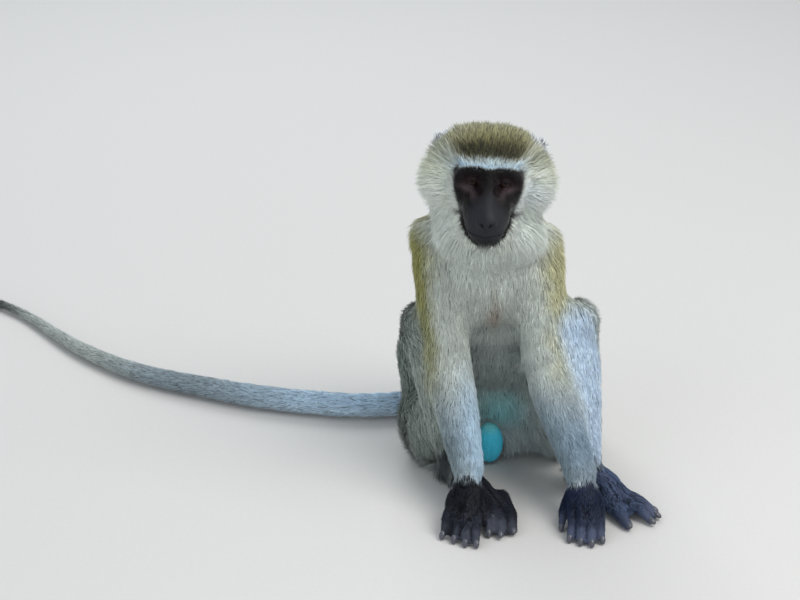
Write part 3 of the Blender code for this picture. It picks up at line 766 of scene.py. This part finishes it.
def refine(obj, inside):
    """Cut each edge in half where inside(P) says so."""
    bm = bmesh.new()
    bm.from_mesh(obj.data)
    P = np.array([v.co[:] for v in bm.verts])
    wanted = inside(P)
    chosen = [e for e in bm.edges if wanted[e.verts[0].index] and wanted[e.verts[1].index]]
    bmesh.ops.subdivide_edges(bm, edges=chosen, cuts=1, use_grid_fill=True, smooth=0.0)
    bmesh.ops.triangulate(bm, faces=bm.faces)
    bm.to_mesh(obj.data)
    bm.free()


def on_face(P):
    s, f, u = on_head(P)
    return (f > 0.018) & (np.abs(s) < 0.034) & (u > -0.060) & (u < 0.016)


def on_features(P):
    """Round the eyes, on the nose, and along the mouth."""
    s, f, u = on_head(P)
    eyes = (np.abs(np.abs(s) - 0.0140) < 0.0125) & (np.abs(u + 0.003) < 0.012) & (f > 0.020)
    return eyes | ((f > 0.050) & (np.abs(s) < 0.024) & (u > -0.050))


EYE_OPEN_WIDE = 44.0            # half the lid opening's width, degrees round the eyeball
EYE_OPEN_UP, EYE_OPEN_DOWN = 21.0, 21.0
EYE_TOWARD_NOSE, EYE_RAISED = 7.0, 8.0      # where the middle of the opening is, degrees
LID = 0.0009                    # thickness of the lids
LID_EDGE = 0.0006               # how much thicker they are at their edge


def sculpt_eyes(P):
    """Lids that lap over the eyeball, with a crease above and a bag below."""
    for side in SIDES:
        middle, half = box_middle("eye_" + side)
        radius = half.mean()
        q = (P - middle) @ HEAD_AXES
        out, ahead, up = q[:, 0] * SIGN[side], -q[:, 1], q[:, 2]
        far = np.linalg.norm(q, axis=1)
        near = (ahead > 0) & (far < 0.022)
        x = np.degrees(np.arctan2(out, ahead)) + EYE_TOWARD_NOSE
        y = np.degrees(np.arctan2(up, np.hypot(out, ahead))) - 0.06 * x - EYE_RAISED
        hood = np.clip(1 - (x / EYE_OPEN_WIDE) ** 2, 0, 1)
        limit = np.where(y > 0, EYE_OPEN_UP, EYE_OPEN_DOWN) * hood ** 0.75
        past = np.clip(np.abs(x) - EYE_OPEN_WIDE, 0, None)
        edge = (limit - np.abs(y) - past) * math.radians(1) * radius        # metres inside the opening
        rim = radius + LID + LID_EDGE * bell((edge, -0.0006, 0.0007))
        crease = -0.0009 * bell((edge, -0.0036, 0.0008)) * (y > 0)
        bag = -0.0006 * bell((edge, -0.0042, 0.0010)) * (y <= 0)
        opening = radius - 0.0016 * ramp(edge, 0.0, 0.0009) + (LID + LID_EDGE) * (1 - ramp(edge, 0.0, 0.0006))
        wanted = np.where(edge > 0, opening, rim + crease + bag)
        hold = 1 - ramp(-edge, 0.0022, 0.0060)
        moved = far + (wanted - far) * hold
        P = np.where(near[:, None], middle + (P - middle) * (moved / np.maximum(far, 1e-6))[:, None], P)
    return P


def round_lids(P):
    """About 1 on the ring of skin just beyond the lids."""
    share = np.zeros(len(P))
    for side in SIDES:
        far = np.linalg.norm(P - box_middle("eye_" + side)[0], axis=1)
        share = np.maximum(share, ramp(far, 0.0108, 0.0125) * (1 - ramp(far, 0.019, 0.023)))
    return share * on_face(P)


def sculpt_face(P, N):
    """Nostrils, wings of the nose, mouth line, lips, and folds beside the muzzle."""
    s, f, u = on_head(P)
    beside = np.abs(s)
    push = np.zeros(len(P))
    # beside the nose's bridge, the wing of the nose, between the nostrils, the groove above the lip:
    # height, middle and radii, as measured beside, forward and up
    for height, middle, radii in ((0.0042, (0.0100, 0.044, -0.0105), (0.0045, 0.012, 0.0060)),
                                  (0.0016, (0.0075, 0.072, -0.0240), (0.0026, 0.010, 0.0040)),
                                  (0.0010, (0.0, 0.076, -0.0235), (0.0016, 0.010, 0.0050)),
                                  (-0.0008, (0.0, 0.074, -0.0325), (0.0012, 0.010, 0.0030))):
        push += height * bell(*zip((beside, f, u), middle, radii))
    slant = beside - 0.0042 - (u + 0.0255) * 0.5
    push -= 0.0034 * bell((slant, 0.0, 0.0012), (u, -0.0258, 0.0022)) * ramp(f, 0.060, 0.066)
    mouth = u + 0.0395 - 0.02 * (0.074 - f) - 0.0012 * ramp(beside, 0.0, 0.008)
    along = ramp(f, 0.050, 0.060)
    for height, above, width in ((-0.0011, 0.0, 0.0007), (0.0004, 0.0024, 0.0016), (0.0005, -0.0024, 0.0016)):
        push += height * bell((mouth, above, width)) * along
    fold = beside - 0.0185 + 0.55 * (f - 0.050)
    fold_ends = ramp(f, 0.038, 0.044) * (1 - ramp(f, 0.058, 0.064)) * ramp(-u, 0.006, 0.014)
    push -= 0.0008 * bell((fold, 0.0, 0.0013)) * fold_ends
    return P + N * push[:, None]


def digit_grooves(P):
    """About 1 in the grooves between the fingers and between the toes."""
    total = np.zeros(len(P))
    for digits, bases, part in ((FINGERS, WRIST, "hand_"), (TOES, ANKLE, "foot_")):
        for side in SIDES:
            found = [near_chain(P, digit_chain(bases[side], digit)) for digit in digits[side]]
            gaps = np.sort(np.stack([gap for gap, *_ in found]), axis=0)
            way = np.stack([way for *_, way in found]).max(0)
            middle, half = box_middle(part + side)
            inside = (np.abs(P - middle) < half + 0.004).all(1)
            total += bell((gaps[1], gaps[0], 0.0018)) * ramp(way, 0.030, 0.044) * inside
    return np.clip(total, 0, 1)


def hollow_ears(P, N):
    """Scoop the front of each ear, inside a rolled rim."""
    for side in SIDES:
        middle = box_middle("ear_" + side)[0]
        q = (P - middle) @ HEAD_AXES
        facing = (N @ HEAD_AXES)[:, 1] < -0.2
        far = np.hypot(q[:, 0] / 0.012, q[:, 2] / 0.015)
        scoop = 0.0022 * (1 - ramp(far, 0.35, 0.80)) * facing * near_box(P, "ear_" + side, 0.004)
        P = P - N * scoop[:, None]
    return P


def build_skin():
    obj = fused_solids()
    fine = draw_in(obj)
    thin(obj, fine)
    refine(obj, on_face)
    refine(obj, on_features)
    mesh = obj.data
    E = edges_of(mesh)
    P = points_of(mesh)
    face = on_face(P).astype(float)
    P = relax(P, E, 4, 0.5 * face)
    set_points(mesh, P)
    P = sculpt_face(P, normals_of(mesh))
    P = sculpt_eyes(P)
    P = relax(P, E, 10, 0.5 * round_lids(P))
    P = hollow_ears(P, normals_of(mesh))
    N = normals_of(mesh)
    P = P - N * (0.0028 * digit_grooves(P) * ramp(N[:, 2], 0.0, 0.3))[:, None]
    set_points(mesh, P)
    return obj


def paint_skin(obj):
    """Give the skin its colours, how bare it is, and the combed coordinates of its fine relief."""
    mesh = obj.data
    P, N = points_of(mesh), normals_of(mesh)
    coat = Coat(P, N)
    ears, scrotum = ears_share(P), scrotum_share(P)
    root, tip, _ = coat.colours()
    bare = np.maximum.reduce([coat.bare(), ears, scrotum])
    colour = mix(lighten(0.75 * root + 0.20 * tip), root, coat.bare())
    colour = mix(colour, tone(122, 122, 133), ears)
    turquoise = mix(tone(84, 222, 255), tone(120, 215, 220), ramp(P[:, 2], 0.034, 0.046))
    colour = mix(colour, turquoise, scrotum)
    for side, end in DIGIT_ENDS:
        # paler bare fingertips and toetips; the left ones are painted bluer, as cold light on them
        tip_share = near_point(P, end, 0.008, 0.022)
        colour = mix(colour, tone(70, 74, 85) if side == "right" else tone(84, 92, 116), 0.55 * tip_share)
        bare = np.maximum(bare, 0.8 * tip_share)
    # painted shade: the grooves between fingers and between toes are darkened
    colour = colour * (1 - 0.75 * digit_grooves(P))[:, None]
    paint_points(mesh, colour)
    mesh.attributes.new("bare", "FLOAT", "POINT").data.foreach_set("value", bare)
    flow = coat.lie()
    across = np.cross(N, flow)
    comb = np.column_stack([(P * across).sum(1) * 1400, (P * flow).sum(1) * 160, (P * N).sum(1) * 200])
    mesh.attributes.new("comb", "FLOAT_VECTOR", "POINT").data.foreach_set("vector", comb.ravel())
    smooth(mesh)


class Field:
    """The skin as triangles that tufts grow from."""

    def __init__(self, obj):
        mesh = obj.data
        mesh.calc_loop_triangles()
        self.T = rows_of(mesh.loop_triangles, "vertices", 3, int)
        self.P = points_of(mesh)
        E = edges_of(mesh)
        ones = np.ones(len(self.P))
        self.N = unit(relax(normals_of(mesh), E, 4, 0.5 * ones))
        coat = Coat(self.P, self.N)
        flow = unit(relax(coat.lie(), E, 12, 0.5 * ones))
        self.flow = unit(flow - (flow * self.N).sum(1, keepdims=True) * self.N)
        _, length, width, tilt, crowd = coat.shape()
        bare = np.maximum(coat.bare(), scrotum_share(self.P))
        rim = np.exp(-(np.abs(coat.face_depth) / 0.0022)) * coat.bare()
        crowd = crowd * (1 - bare) + 520 * rim
        length = length * (1 + 0.7 * rim)
        ears = ears_share(self.P)
        crowd = crowd * (1 - 0.85 * ears)
        length = length * (1 - 0.6 * ears)
        for _, end in DIGIT_ENDS:
            crowd = crowd * (1 - near_point(self.P, end, 0.006, 0.026))
        floor = ramp(self.P[:, 2], 0.0005, 0.003)
        crowd = crowd * (0.15 + 0.85 * floor)
        self.shape = np.stack([length, width, tilt], 1)
        corners = self.P[self.T]
        across = np.cross(corners[:, 1] - corners[:, 0], corners[:, 2] - corners[:, 0])
        square_cm = np.linalg.norm(across, axis=1) / 2 * 1e4
        self.amount = square_cm * crowd[self.T].mean(1)
        self.region = coat.region[self.T[:, 0]]
        middle = corners.mean(1)
        self.high = on_head(middle)[2] > 0.004
        self.behind = middle[:, 1] > np.interp(middle[:, 2], [0.0, 0.12, 0.24], [0.01, 0.0, -0.03])

    def within(self, *names):
        """The triangles of some regions."""
        return np.isin(self.region, [NAMES.index(name) for name in names])

    def roots(self, rng, chosen):
        """Evenly spread places on the chosen triangles, each with its normal, lie and hair."""
        total = np.cumsum(np.where(chosen, self.amount, 0.0))
        count = int(total[-1] * (1.0))
        stops = (np.arange(count) + rng.random(count)) * total[-1] / count
        triangles = np.searchsorted(total, stops).clip(0, len(total) - 1)
        a, b = rng.random(count), rng.random(count)
        flip = a + b > 1
        a[flip], b[flip] = 1 - a[flip], 1 - b[flip]
        shares = np.stack([1 - a - b, a, b], 1)
        corners = self.T[triangles]

        def at_roots(values):
            return (values[corners] * shares[:, :, None]).sum(1)
        return at_roots(self.P), unit(at_roots(self.N)), unit(at_roots(self.flow)), at_roots(self.shape)


def tuft_points(R, N, F, shape, rng):
    """The points of three-sided tufts: a sunk root, a bend where each is widest, and a tip."""
    count = len(R)
    length = shape[:, 0] * rng.uniform(0.70, 1.12, count)
    width = shape[:, 1] * rng.uniform(0.75, 1.25, count)
    tilt = np.radians(shape[:, 2]) * rng.uniform(0.6, 1.4, count)
    lock = 0.16 * waves(R, 0.016, 21) + 0.12 * waves(R, 0.006, 22) + rng.normal(0, 0.17, count)
    tilt = tilt * (1 + 0.16 * waves(R, 0.007, 24))
    way = unit(F + np.cross(N, F) * lock[:, None])
    across = unit(np.cross(N, way))
    first = way * np.cos(tilt)[:, None] + N * np.sin(tilt)[:, None]
    bend = tilt * rng.uniform(0.15, 0.55, count)
    second = way * np.cos(bend)[:, None] + N * np.sin(bend)[:, None]
    base = R - N * SINK
    elbow = base + first * (length * BEND_AT + SINK)[:, None]
    point = elbow + second * (length * (1 - BEND_AT))[:, None]
    lift = np.cross(first, across)
    ring = [elbow + (across * math.cos(angle) + lift * 0.6 * math.sin(angle)) * (width / 2)[:, None]
            for angle in np.radians((90, 210, 330))]
    V = np.stack([base, *ring, point], 1)
    V[:, :, 2] = np.maximum(V[:, :, 2], HAIR_ABOVE_FLOOR)
    return V


def tuft_colours(R, N, rng):
    """The colours of the tufts' points, with dark and pale tufts mixed where the coat is grizzled."""
    root, tip, grizzle = Coat(R, N).colours()
    root, tip = lighten(root), lighten(tip)
    mixed = rng.random(len(R))
    dark = np.where(mixed < 0.45 * grizzle, 0.38, np.where(mixed < 0.9 * grizzle, 1.40, 1.0))
    dark = dark * rng.uniform(0.86, 1.14, len(R)) * (1 + 0.07 * waves(R, 0.012, 23))
    middle = 0.45 * root + 0.55 * tip
    return np.stack([root] + [middle * dark[:, None]] * 3 + [tip * dark[:, None]], 1).clip(0, 1)


TUFT_FACES = np.array([(0, 2, 1), (0, 3, 2), (0, 1, 3), (1, 2, 4), (2, 3, 4), (3, 1, 4)])
TUFT_UNWRAP = np.array([(0, -1.2), (0, 0.4), (-1, 0), (1, 0), (0, 1.2)]) * 0.0012


def tuft_mesh(title, V, paint, N, place):
    """A mesh of tufts, whose normals lean to the skin's, so that the coat shades softly."""
    count = len(V)
    faces = (np.arange(count)[:, None, None] * TUFT_POINTS + TUFT_FACES).reshape(-1, 3)
    mesh = bpy.data.meshes.new(title)
    mesh.vertices.add(count * TUFT_POINTS)
    mesh.vertices.foreach_set("co", V.ravel())
    mesh.loops.add(faces.size)
    mesh.loops.foreach_set("vertex_index", faces.ravel())
    mesh.polygons.add(len(faces))
    mesh.polygons.foreach_set("loop_start", np.arange(0, faces.size, 3))
    mesh.polygons.foreach_set("loop_total", np.full(len(faces), 3))
    mesh.update(calc_edges=True)
    smooth(mesh)
    paint_points(mesh, paint.reshape(-1, 3))
    low, high = place[:, 1].min(), place[:, 1].max()
    spread = 0.01 + 0.98 * np.column_stack([place[:, 0], (place[:, 1] - low) / max(high - low, 1e-6)])
    uv = (spread[:, None, :] + TUFT_UNWRAP).reshape(-1, 2)[faces.ravel()]
    mesh.uv_layers.new(name="OFBake").data.foreach_set("uv", uv.ravel())
    soft = unit(0.35 * normals_of(mesh) + 0.65 * np.repeat(N, TUFT_POINTS, axis=0))
    mesh.normals_split_custom_set_from_vertices(soft)
    return mesh


def grow(field, name, chosen, slot, unwrap, material, seed):
    """Grow tufts on the chosen triangles, in pieces that follow each other along the unwrap."""
    rng = np.random.default_rng(seed)
    R, N, F, shape = field.roots(rng, chosen)
    V = tuft_points(R, N, F, shape, rng)
    paint = tuft_colours(R, N, rng)
    place = unwrap(R)
    pieces = max(1, math.ceil(len(R) / TUFTS_PER_PIECE))
    for number, rows in enumerate(np.array_split(np.argsort(place[:, 1]), pieces), 1):
        title = name if pieces == 1 else "%s_%d" % (name, number)
        add_piece(tuft_mesh(title, V[rows], paint[rows], N[rows], place[rows]), material)
    return len(R)


def lighten(colour):
    """Lighten pale colours, which the shade between the hairs darkens again, and leave black alone."""
    bright = colour.mean(1, keepdims=True)
    gain = 1 + 0.9 * ramp(bright, 0.02, 0.12)
    return colour * np.minimum(gain, 0.90 / colour.max(1, keepdims=True))


def wrap_round(points, radii=1.0):
    """An unwrap of a limb: turn about its axis, and way along it."""
    links = chain(points, radii)
    total = np.linalg.norm(np.diff(links[0], axis=0), axis=1).sum()

    def unwrap(R):
        _, heading, axis, way = near_chain(R, links)
        start = unit(np.cross(heading, np.array((0.31, 0.87, 0.38))))
        other = np.cross(heading, start)
        out = R - axis
        turn = np.arctan2((out * other).sum(1), (out * start).sum(1)) / (2 * math.pi) + 0.5
        beyond = ((R - links[0][0]) @ unit(links[0][1] - links[0][0])).clip(None, 0)
        after = ((R - links[0][-1]) @ unit(links[0][-1] - links[0][-2])).clip(0, None)
        return np.column_stack([turn, (way + beyond + after) / total])
    return unwrap


def wrap_head(R):
    """An unwrap of the head like a globe's."""
    s, f, u = on_head(R)
    return np.column_stack([np.arctan2(s, f) / (2 * math.pi) + 0.5,
                            np.arctan2(u, np.hypot(s, f)) / math.pi + 0.5])


def grow_coat(skin):
    """Grow every piece of the coat: its triangles of skin, slot, unwrap and material."""
    field = Field(skin)
    hair = coat_material("hair", 0.62, 0.25)
    dark = coat_material("dark_hair", 0.50, 0.05)
    head, trunk = field.within("head"), field.within("trunk")
    jobs = [("coat_crown", head & field.high, "coat_olive", wrap_head, hair),
            ("coat_cheeks", head & ~field.high, "coat_pale", wrap_head, hair),
            ("coat_throat", field.within("neck"), "coat_pale", wrap_round(NECK), hair),
            ("coat_front", trunk & ~field.behind, "coat_pale", wrap_round(SPINE), hair),
            ("coat_back", trunk & field.behind, "coat_olive", wrap_round(SPINE), hair),
            ("coat_tail", field.within("tail"), "coat_tail", wrap_round(TAIL), hair)]
    for side in SIDES:
        arm = wrap_round([SHOULDER[side], ELBOW[side], WRIST[side]])
        leg = wrap_round([HIP[side], KNEE[side], ANKLE[side]])
        hand = wrap_round([WRIST[side], FINGERS[side][1][1]])
        foot = wrap_round([ANKLE[side], TOES[side][1][1]])
        for limb, parts, slot, unwrap, material in (
                ("arm_", ("upper_arm_", "forearm_"), "coat_pale", arm, hair),
                ("leg_", ("thigh_", "shin_"), "coat_grey", leg, hair),
                ("hand_", ("hand_",), "black_skin", hand, dark),
                ("foot_", ("foot_",), "black_skin", foot, dark)):
            chosen = field.within(*[part + side for part in parts])
            jobs.append(("coat_" + limb + side, chosen, slot, unwrap, material))
    total = 0
    for number, job in enumerate(jobs):
        count = grow(field, *job, SEED + number)
        print("tufts", job[0], count)
        total += count
    print("tufts in all", total)


# ---- eyes and nails
def eye_material():
    """The painted eye under a wet cornea."""
    mat, nodes, links, shader = new_material("eye", {"Roughness": 0.35, "Specular IOR Level": 0.08,
                                                     "Coat Weight": 0.25, "Coat Roughness": 0.03})
    links.new(painted(nodes), shader.inputs["Base Color"])
    return mat


def build_eye(side, material):
    """An eyeball with a bulging cornea and a dark brown iris, which looks a little up at the viewer."""
    middle, half = box_middle("eye_" + side)
    bm = bmesh.new()
    bmesh.ops.create_uvsphere(bm, u_segments=64, v_segments=48, radius=half.mean() - 0.0001)
    mesh = mesh_from(bm, "eyeball_" + side)
    P = points_of(mesh)
    away = np.degrees(np.arccos(np.clip(P[:, 2] / np.linalg.norm(P, axis=1), -1, 1)))
    P *= (1 + 0.055 * (1 - ramp(away, 18, 36)))[:, None]
    iris, pupil = 1 - ramp(away, 31, 34), 1 - ramp(away, 11, 13)
    streak = 0.8 + 0.3 * np.sin(np.arctan2(P[:, 1], P[:, 0]) * 29) * ramp(away, 12, 22)
    colour = mix(tone(24, 17, 16), tone(44, 30, 24) * streak[:, None], iris)
    colour = mix(colour, tone(26, 16, 12), iris * ramp(away, 27, 32))
    colour = mix(colour, tone(4, 4, 4), pupil)
    look = Vector(head_vector(*np.array([[0.05 * SIGN[side]], [1.0], [0.38]]))[0])
    turn = np.array(look.to_track_quat("Z", "Y").to_matrix())
    set_points(mesh, P @ turn.T + middle)
    paint_points(mesh, colour)
    smooth(mesh)
    obj = add_piece(mesh, material)
    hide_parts("eye_" + side)


def build_nails(name, digits, material):
    """A small curved nail on the end of each digit."""
    bm = bmesh.new()
    for joint, end in digits:
        joint, end = Vector(joint), Vector(end)
        along = (end - joint).normalized()
        up = (Vector((0, 0, 1)) - along * along.z).normalized()
        across = along.cross(up)
        turn = Matrix((across, along, up)).transposed().to_4x4()
        place = Matrix.Translation(end + along * 0.0010 + up * 0.0016)
        size = Matrix.Diagonal((0.0030, 0.0048, 0.0026, 1.0))
        bmesh.ops.create_uvsphere(bm, u_segments=16, v_segments=10, radius=1.0, matrix=place @ turn @ size)
    for vert in bm.verts:
        vert.co.z = max(vert.co.z, 0.0004)
    mesh = mesh_from(bm, name)
    smooth(mesh)
    add_piece(mesh, material)


# ---- stage, light and camera
CAMERA_PLACE = (-0.097, -2.319, 1.185)
CAMERA_DOWN = 24.0              # degrees below level
LENS, SENSOR = 112.5, 36.0      # millimetres


def build_stage():
    bm = bmesh.new()
    bmesh.ops.create_grid(bm, x_segments=2, y_segments=2, size=30.0)
    floor = link(bpy.data.objects.new("floor", mesh_from(bm, "floor")))
    floor.data.materials.append(plain_material("floor", (0.62, 0.61, 0.59), 0.9, 0.0, 0.03))


def area_light(name, place, aim, size, power, colour, mirrored=True):
    """A square light; one that isn't mirrored leaves no reflection in the eyes."""
    data = bpy.data.lights.new(name, "AREA")
    data.size, data.energy, data.color = size, power, colour
    obj = link(bpy.data.objects.new(name, data))
    obj.location = place
    obj.rotation_euler = (Vector(aim) - Vector(place)).to_track_quat("-Z", "Y").to_euler()
    obj.visible_glossy = mirrored


def light_and_camera():
    scene = bpy.context.scene
    world = bpy.data.worlds.new("studio")
    world.use_nodes = True
    sky = world.node_tree.nodes["Background"].inputs
    sky["Color"].default_value = (0.86, 0.92, 1.0, 1)
    sky["Strength"].default_value = 0.55
    scene.world = world
    middle = (0, -0.06, 0.18)
    area_light("key", (1.1, -0.7, 2.0), middle, 1.4, 34, (1.0, 0.98, 0.95))
    area_light("fill", (-1.6, -1.6, 1.2), middle, 2.0, 14, (0.92, 0.96, 1.0), False)
    area_light("low", (0.3, -2.0, 0.45), (0, -0.1, 0.12), 1.2, 4.5, (1.0, 1.0, 1.0), False)
    area_light("back", (-0.5, 1.6, 1.7), middle, 1.2, 18, (0.95, 0.98, 1.0))
    camera = bpy.data.cameras.new("camera")
    camera.lens = LENS
    camera.sensor_width = SENSOR
    obj = link(bpy.data.objects.new("camera", camera))
    obj.location = CAMERA_PLACE
    obj.rotation_euler = (math.radians(90 - CAMERA_DOWN), 0, 0)
    scene.camera = obj
    scene.view_settings.view_transform = "Standard"


# ---- the animal
build_stage()
light_and_camera()

skin = build_skin()
paint_skin(skin)
skin.data.materials.append(hide_material())
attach(skin, "root")
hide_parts(*[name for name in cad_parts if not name.startswith("eye_")])

wet = eye_material()
nail = plain_material("nail", tone(74, 76, 84), 0.35, 0.3)
for side in SIDES:
    build_eye(side, wet)
    build_nails("nails_hand_" + side, FINGERS[side], nail)
    build_nails("nails_foot_" + side, TOES[side], nail)

grow_coat(skin)
